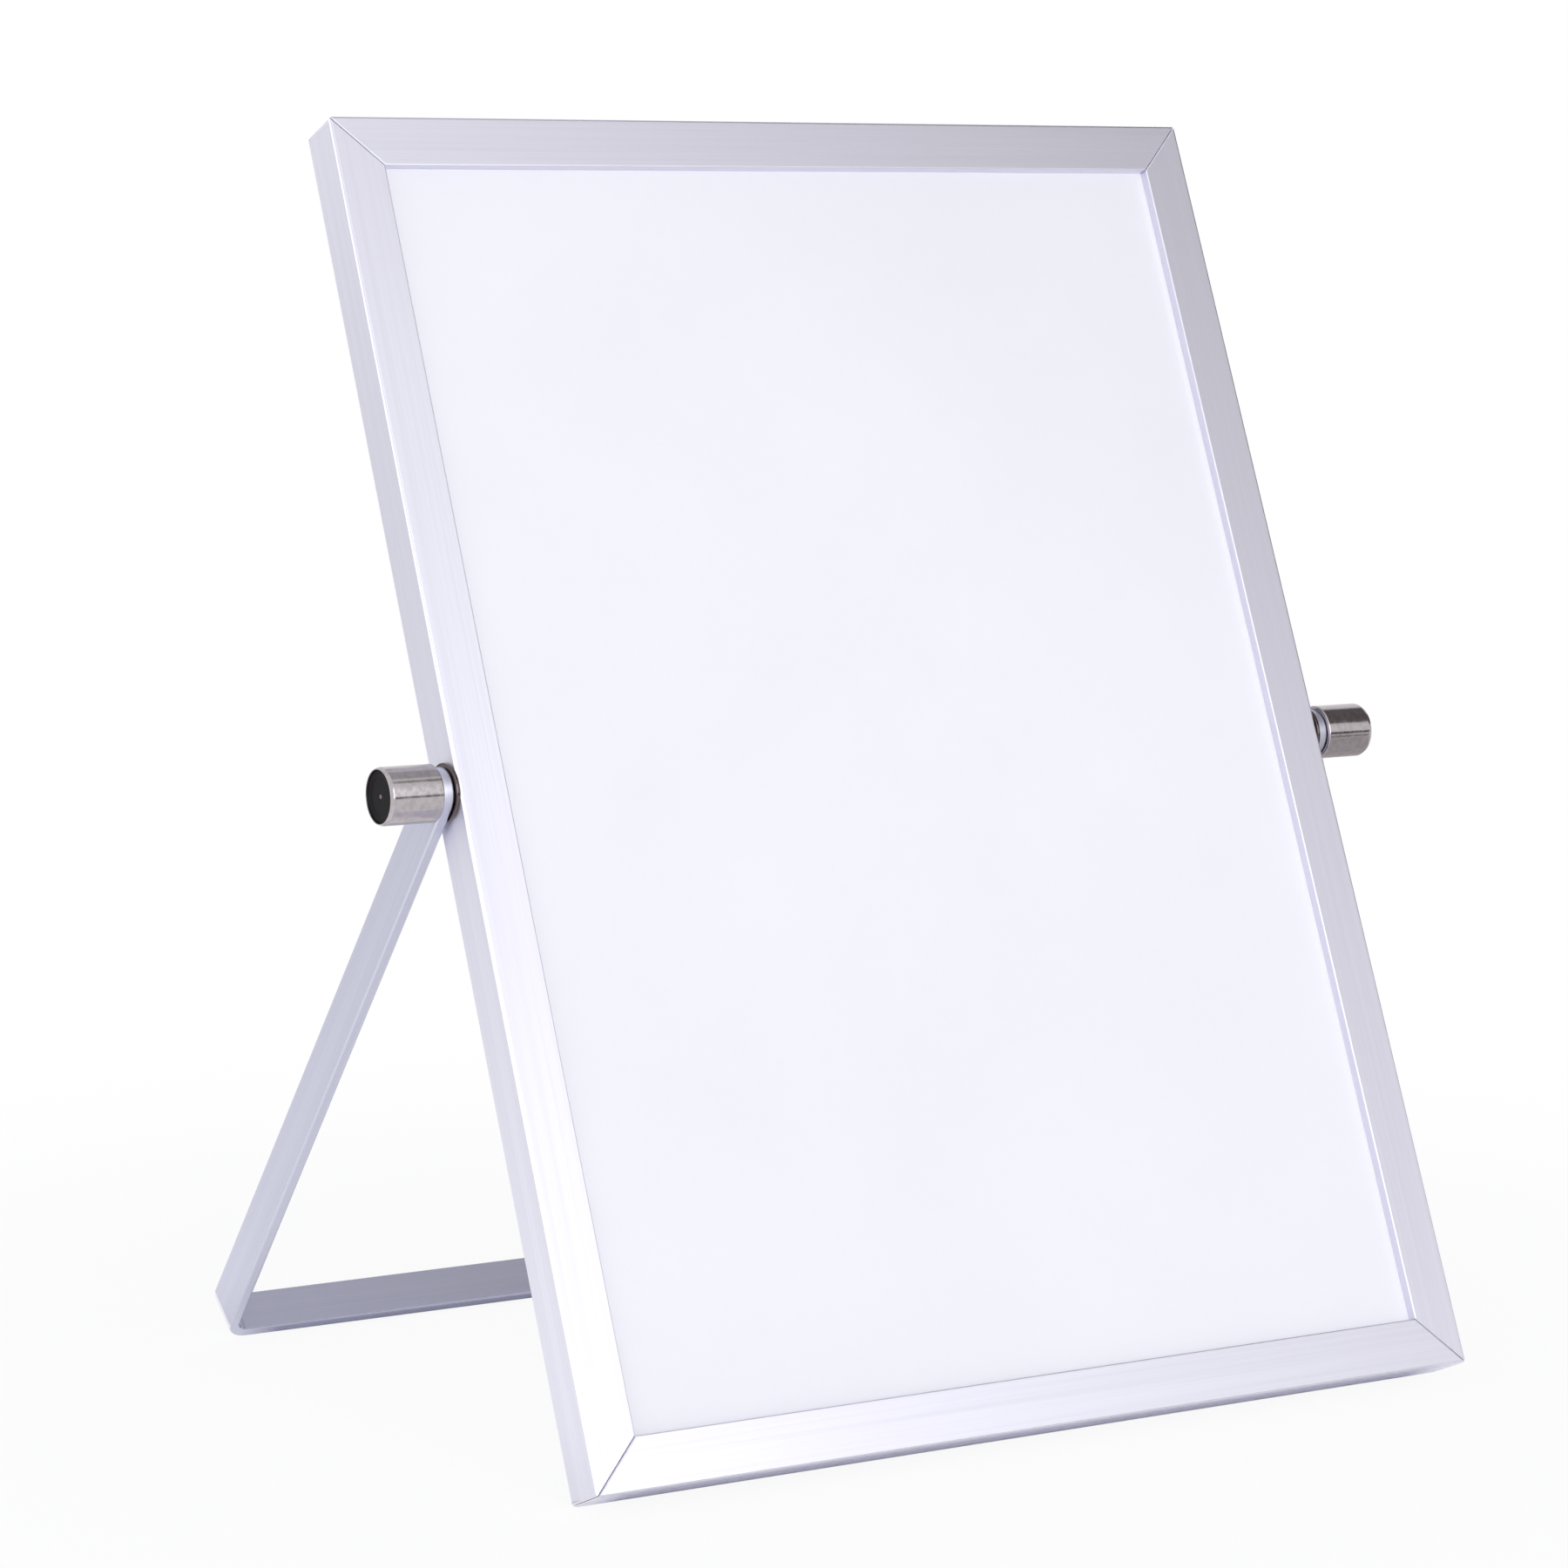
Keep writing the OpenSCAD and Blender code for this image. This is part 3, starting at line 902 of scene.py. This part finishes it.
THREAD_LENGTHS = {
    "Rotations": ("DIVIDE", "Length", "Pitch"),
    "Foot": ("MULTIPLY", "Pitch", 0.8),
    "Crest": ("MULTIPLY", "Pitch", 0.15),
    "Height": ("MULTIPLY", "Ridge", 2.0),
}


def thread_tree():
    """A helical ridge about +Z: a spiral swept with a blunt triangle."""
    sizes = "Core radius", "Ridge", "Pitch", "Length", "Steps"
    tree, at = sized_tree("Rolled thread", sizes, THREAD_LENGTHS)
    add = partial(put, tree)

    core = {"Start Radius": at["Core radius"], "End Radius": at["Core radius"]}
    turns = {"Resolution": at["Steps"], "Rotations": at["Rotations"], "Height": at["Length"]}
    spiral = add("GeometryNodeCurveSpiral", core | turns)
    upright = add("GeometryNodeSetCurveNormal", {0: spiral}, mode="Z_UP")
    feeds = {"Bottom Width": at["Foot"], "Top Width": at["Crest"], "Height": at["Height"]}
    feeds["Offset"] = 0.0
    ridge = add("GeometryNodeCurvePrimitiveQuadrilateral", feeds, mode="TRAPEZOID")
    feeds = {"Curve": upright, "Profile Curve": ridge, "Fill Caps": True}
    return close_tree(tree, at, add("GeometryNodeCurveToMesh", feeds))


class EASEL_OT_pivots(bpy.types.Operator):
    """Builds the pivot bolts and collars"""

    bl_idname = "easel.build_pivots"
    bl_label = "Pivots"

    def execute(self, context):
        s = context.scene.easel_knobs
        colours = context.scene.easel_finish
        zinc = dull_metal("Steel, zinc plated", colours.zinc, 0.32, 0.5 * MM, 0.01 * MM)
        # Painted shade: the collars get a darker copy of the bright plating, standing in for the
        # shade in their gap
        shaded_plating = bright_plating("Steel, plated, darkened as painted shade", colours.collar)
        paint_nodes(zinc, "spreader_plate_left", "spreader_plate_right")
        # The head lies against the spreader plate, inside the stile's wall
        radius, plate, head, square = s.bolt / 2, 1.5 * MM, 3.0 * MM, 9.0 * MM
        inner = context.scene.easel_frame.wall + plate + head
        # The thread starts and ends 0.7 mm short of the shank's ends
        core, ridge, bare = radius - 0.42 * MM, 0.4 * MM, 0.7 * MM
        sizes = {
            "Core radius": core,
            "Ridge": ridge,
            "Pitch": s.pitch,
            "Length": BOLT_OUT + inner - head - 2 * bare,
            "Steps": 28,
            "Material": zinc,
        }
        thread = thread_tree()
        ring = flat_ring(radius + 0.02 * MM, s.diameter / 2, 0, s.collar)
        for name, side in SIDES.items():
            outline = [
                (0, -inner + 0.1 * MM, 0),
                (core, -inner + 0.1 * MM, 0),
                (core, BOLT_OUT - 0.5 * MM, 0.1 * MM),
                (core - 0.5 * MM, BOLT_OUT, 0.1 * MM),
                (0, BOLT_OUT, 0),
            ]
            blank = turned("blank_" + name, outline, 48, zinc, 3)
            helix = grown("helix_" + name, thread, sizes)
            helix.data.transform(Matrix.Translation((0, 0, head - inner + bare)))
            shape = bmesh.new()
            block = Matrix.Diagonal((square, square, head, 1))
            place = Matrix.Translation((0, 0, head / 2 - inner))
            bmesh.ops.create_cube(shape, size=1.0, matrix=place @ block)
            rounds = {"offset": 0.5 * MM, "segments": 3, "profile": 0.6, "affect": "EDGES"}
            bmesh.ops.bevel(shape, geom=shape.edges[:], **rounds)
            square_head = new_object("head_" + name, as_mesh("head_" + name, shape))
            bolt = joined("bolt_" + name, [blank, helix, square_head])
            finished(bolt, at_pivot(side))
            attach(bolt, "board")
            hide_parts("pivot_bolt_" + name)
            collar = turned("collar_" + name, ring, s.steps, shaded_plating)
            finished(collar, at_pivot(side))
            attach(collar, "board")
            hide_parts("pivot_collar_" + name)
        return {"FINISHED"}


class EASEL_OT_knobs(bpy.types.Operator):
    """Builds the washers, the thumb knobs and their caps"""

    bl_idname = "easel.build_knobs"
    bl_label = "Knobs"

    def execute(self, context):
        s = context.scene.easel_knobs
        colours = context.scene.easel_finish
        chrome = bright_plating("Steel, chromium plated", colours.plating)
        rubber = moulded("Rubber, moulded", colours.rubber, 0.75, 0.3 * MM, 0.3, 0.02 * MM)
        finish = 0.5, 0.35 * MM, 0.08, 0.01 * MM
        plastic = moulded("Plastic, moulded black", colours.plastic, *finish)
        steel = dull_metal("Steel, turned", colours.pin, 0.35, 0.3 * MM, 0.005 * MM)
        radius, bore = s.diameter / 2, s.bolt / 2 + 0.05 * MM
        cap, cap_thick, pin = radius - s.rim, 1.2 * MM, 0.6 * MM
        washer_edge, washer_thick, play = radius - 1.7 * MM, 0.5 * MM, 0.1 * MM
        # Along the pivot: the knob's ends, its hole's blind end, its cap's face and floor, and the
        # washer's seat
        start, end = KNOB_IN, KNOB_IN + s.length
        blind, face = end - 4 * MM, end - s.recess
        seat, floor = start + washer_thick + play, face - cap_thick
        for name, side in SIDES.items():
            ring = flat_ring(bore, washer_edge, start, start + washer_thick)
            washer = turned("washer_" + name, ring, s.steps, rubber)
            finished(washer, at_pivot(side))
            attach(washer, "washer_" + name)
            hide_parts("friction_washer_" + name)
            # The barrel: the washer's seat inside, and outside a cup with a domed pin in its floor
            outline = [
                (0, blind, 0),
                (bore, blind, 0.1 * MM),
                (bore, seat, 0.1 * MM),
                (washer_edge + play, seat, 0),
                (washer_edge + play, start, 0.1 * MM),
                (radius, start, 0.4 * MM),
                (radius, end - 0.9 * MM, 0.5 * MM),
                (radius - 0.35 * MM, end, 0.15 * MM),
                (cap, end, 0.05 * MM),
                (cap, floor, 0),
                (pin, floor, 0),
                (pin, face, 0.25 * MM),
                (0, face + 0.12 * MM, 0),
            ]
            knob = turned("knob_" + name, outline, s.steps, chrome)
            knob.data.materials.append(steel)
            for polygon in knob.data.polygons:
                middle = polygon.center
                if middle.z > floor and middle.xy.length < pin:
                    polygon.material_index = 1
            finished(knob, at_pivot(side))
            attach(knob, "knob_" + name)
            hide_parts("thumb_knob_" + name)
            # The cap, with a shallow moulded ring around the pin
            edge, eye = cap - 0.05 * MM, pin + 0.03 * MM
            outline = [
                (eye, floor, 0),
                (edge, floor, 0.1 * MM),
                (edge, face, 0.15 * MM),
                (edge * 0.80, face, 0.05 * MM),
                (edge * 0.76, face - 0.14 * MM, 0.05 * MM),
                (edge * 0.40, face - 0.10 * MM, 0.1 * MM),
                (eye, face - 0.08 * MM, 0.05 * MM),
            ]
            disc = turned("cap_" + name, outline, s.steps, plastic)
            finished(disc, at_pivot(side))
            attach(disc, "knob_" + name)
            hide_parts("knob_cap_" + name)
        return {"FINISHED"}


# ---- Studio ----

# The height of the easel's middle
MIDDLE = 0.16
# The share of plain white in the floor near the easel, as the camera and metal see it
GLOW = 0.9
# How far the two lines on which the easel stands lie from the middle, in Y
CONTACT = 0.098
# Over which distances metal sees the floor's shadow go: away from those lines, past the easel's
# sides, and, also for the camera, away from the middle
FADE_LINES = 0.004, 0.03
FADE_SIDES = 0.118, 0.13
FADE_FLOOR = 0.15, 0.5


def stage_card(name, width, height, place, target, material, spin=0.0):
    """A flat card that faces a target, for the metal to reflect."""
    shape = bmesh.new()
    bmesh.ops.create_grid(shape, x_segments=1, y_segments=1, size=0.5)
    direction = Vector(target) - Vector(place)
    turn = direction.to_track_quat("Z", "Y").to_matrix().to_4x4()
    turn = turn @ Matrix.Rotation(spin, 4, "Z")
    size = Matrix.Diagonal((width, height, 1, 1))
    shape.transform(Matrix.Translation(place) @ turn @ size)
    card = new_object(name, as_mesh(name, shape, material))
    card.visible_camera = False
    return card


def glowing(name, code, strength=1.0):
    """A studio card that shows one even colour, whatever the light."""
    material = bpy.data.materials.new(name)
    material.use_nodes = True
    tree = material.node_tree
    feeds = {"Color": (*linear(code), 1), "Strength": strength}
    glow = put(tree, "ShaderNodeEmission", feeds)
    tree.links.new(glow.outputs[0], tree.nodes["Material Output"].inputs["Surface"])
    return material


def toward(azimuth, elevation, distance):
    """A place in degrees from the easel's middle, azimuth from straight in front to the right."""
    a, e = math.radians(azimuth), math.radians(elevation)
    across = distance * math.sin(a) * math.cos(e)
    back = -distance * math.cos(a) * math.cos(e)
    return Vector((across, back, MIDDLE + distance * math.sin(e)))


def seen_rays(tree):
    """The kinds of rays, and 1 for one from the camera or sent on by metal or glass."""
    ray = put(tree, "ShaderNodeLightPath").outputs
    seen = ray["Is Camera Ray"]
    for other in ("Is Glossy Ray", "Is Transmission Ray"):
        seen = put(tree, MATH, {0: seen, 1: ray[other]}, operation="MAXIMUM")
    return ray, seen


def lit_world(strength):
    """A white background, also in metal, and an even softer light on matt surfaces."""
    world = bpy.data.worlds.new("Studio")
    world.use_nodes = True
    tree = world.node_tree
    tree.nodes.clear()
    white = put(tree, "ShaderNodeBackground", {"Color": (1, 1, 1, 1)})
    feeds = {"Color": (0.97, 0.98, 1.0, 1), "Strength": strength}
    soft = put(tree, "ShaderNodeBackground", feeds)
    both = put(tree, "ShaderNodeMixShader", {0: seen_rays(tree)[1], 1: soft, 2: white})
    put(tree, "ShaderNodeOutputWorld", {"Surface": both})
    return world


def floor_paper(base):
    """Matt white paper that turns into plain white away from the easel."""
    material, shader, add = finish_of("Floor, matt white", base, 0.0, 0.9)
    shader.inputs["Specular IOR Level"].default_value = 0.0
    place = add("ShaderNodeTexCoord").outputs["Object"]
    ray, seen = seen_rays(material.node_tree)
    # Metal shows the floor's real shadow along the two lines where the easel stands
    spot = add("ShaderNodeSeparateXYZ", {0: place}).outputs
    fore = add(MATH, {0: spot["Y"]}, operation="ABSOLUTE")
    off = add(MATH, {0: fore, 1: CONTACT}, operation="SUBTRACT")
    gap = add(MATH, {0: off}, operation="ABSOLUTE")
    aside = add(MATH, {0: spot["X"]}, operation="ABSOLUTE")
    near = add(MATH, {0: ray["Is Camera Ray"], 1: GLOW}, operation="MULTIPLY")
    for distance, (start, end) in ((gap, FADE_LINES), (aside, FADE_SIDES)):
        feeds = {"Value": distance, "From Min": start, "From Max": end, "To Max": GLOW}
        lit = add("ShaderNodeMapRange", feeds)
        near = add(MATH, {0: near, 1: lit}, operation="MAXIMUM")
    away = add("ShaderNodeVectorMath", {0: place}, operation="LENGTH").outputs["Value"]
    feeds = {"Value": away, "From Min": FADE_FLOOR[0], "From Max": FADE_FLOOR[1]}
    feeds |= {"To Min": near, "To Max": 1.0}
    fade = add("ShaderNodeMapRange", feeds, interpolation_type="SMOOTHSTEP")
    share = add(MATH, {0: seen, 1: fade}, operation="MULTIPLY")
    glow = add("ShaderNodeEmission", {"Color": (1, 1, 1, 1)})
    mixed = add("ShaderNodeMixShader", {0: share, 1: shader, 2: glow})
    tree = material.node_tree
    tree.links.new(mixed.outputs[0], tree.nodes["Material Output"].inputs["Surface"])
    return material


class EASEL_OT_studio(bpy.types.Operator):
    """Sets up the floor, the light, the cards and the camera"""

    bl_idname = "easel.build_studio"
    bl_label = "Studio"

    def execute(self, context):
        s = context.scene.easel_studio
        scene = context.scene
        scene.world = lit_world(s.sky)
        shape = bmesh.new()
        bmesh.ops.create_circle(shape, cap_ends=True, segments=64, radius=30.0)
        new_object("floor", as_mesh("floor", shape, floor_paper(s.floor)))
        # Cards for the metal to reflect: a grey ceiling, a dark one high on the right, a dark
        # strip low in front and a grey one behind on the left
        middle = toward(0, 0, 0)
        grey = glowing("Card, grey paper", "#C4C4C8")
        felt = glowing("Card, grey felt", "#706A6A")
        dark = glowing("Card, black felt", "#453F3F")
        stage_card("card_ceiling", 2.0, 1.6, (0.9, 0.5, 2.0), middle, grey)
        stage_card("card_high", 1.8, 1.7, (1.45, -0.3, 1.2), middle, felt)
        stage_card("card_low", 1.6, 0.26, toward(31, -1, 2.1), middle, dark)
        stage_card("card_behind", 0.5, 0.24, (-0.66, 0.82, 0.14), middle, grey)
        # A bright sheet on the left, for the rounded edges, and sheets flat on the floor: one on
        # the left, and two darker ones on the right, for the underside of the right knob
        bright = glowing("Card, lit white", "#FFFFFF", 1.8)
        paler = glowing("Card, white", "#FFFFFF", 1.1)
        ash = glowing("Card, ash felt", "#C6C2C2")
        slate = glowing("Card, slate felt", "#908A8A")
        sheets = [stage_card("card_left", 3.3, 1.3, toward(-72, 16, 2.2), middle, bright)]
        for name, width, height, spot, material, spin in (
            ("card_floor", 1.1, 1.3, (-0.7, -0.45, 0.002), paler, 0),
            ("card_right", 0.28, 0.75, (0.33, -0.125, 0.002), ash, 0),
            ("card_far", 0.2, 1.4, (0.8, -1.08, 0.003), slate, 31),
        ):
            above = Vector(spot) + Vector((0, 0, 1))
            turn = math.radians(spin)
            sheets.append(stage_card(name, width, height, spot, above, material, turn))
        for sheet in sheets:
            sheet.visible_diffuse = sheet.visible_shadow = False
        # The key: a large soft lamp to the right of the camera
        size = 1.2
        lamp = bpy.data.lights.new("key", "AREA")
        lamp.shape = "RECTANGLE"
        lamp.size = lamp.size_y = size
        lamp.energy = s.key * math.pi * size * size
        key = new_object("key", lamp)
        key.visible_camera = False
        place = toward(0, 17, 1.75)
        turn = (place - middle).to_track_quat("Z", "Y").to_matrix().to_4x4()
        key.matrix_world = Matrix.Translation(place) @ turn
        # The camera stands where the photograph was taken
        camera = bpy.data.cameras.new("camera")
        camera.lens = s.focal
        camera.sensor_width = 36
        camera.clip_start = 0.05
        eye = new_object("camera", camera)
        turn = Matrix.Rotation(-s.yaw, 4, "Z") @ Matrix.Rotation(math.pi / 2 - s.pitch, 4, "X")
        eye.matrix_world = Matrix.Translation(s.place) @ turn @ Matrix.Rotation(s.roll, 4, "Z")
        scene.camera = eye
        scene.view_settings.view_transform = "Standard"
        return {"FINISHED"}


OPERATORS = [
    EASEL_OT_frame,
    EASEL_OT_panel,
    EASEL_OT_stand,
    EASEL_OT_pivots,
    EASEL_OT_knobs,
    EASEL_OT_studio,
]


class EASEL_PT_sidebar(bpy.types.Panel):
    """Lists the steps that build the easel, with their settings"""

    bl_label = "Desk Whiteboard Easel"
    bl_idname = "EASEL_PT_sidebar"
    bl_space_type = "VIEW_3D"
    bl_region_type = "UI"
    bl_category = "Easel"

    def draw(self, context):
        for operator in OPERATORS:
            self.layout.operator(operator.bl_idname)
        for name, group in SETTINGS.items():
            box = self.layout.box()
            box.label(text=group.__doc__)
            for key in group.__annotations__:
                box.prop(getattr(context.scene, name), key)


def register():
    for group in SETTINGS.values():
        bpy.utils.register_class(group)
    for name, group in SETTINGS.items():
        setattr(bpy.types.Scene, name, PointerProperty(type=group))
    for operator in OPERATORS:
        bpy.utils.register_class(operator)
    bpy.utils.register_class(EASEL_PT_sidebar)


def unregister():
    bpy.utils.unregister_class(EASEL_PT_sidebar)
    for operator in reversed(OPERATORS):
        bpy.utils.unregister_class(operator)
    for name, group in SETTINGS.items():
        delattr(bpy.types.Scene, name)
        bpy.utils.unregister_class(group)


def main():
    register()
    bpy.ops.easel.build_frame()
    bpy.ops.easel.build_panel()
    bpy.ops.easel.build_stand()
    bpy.ops.easel.build_pivots()
    bpy.ops.easel.build_knobs()
    bpy.ops.easel.build_studio()


if __name__ == "__main__":
    main()
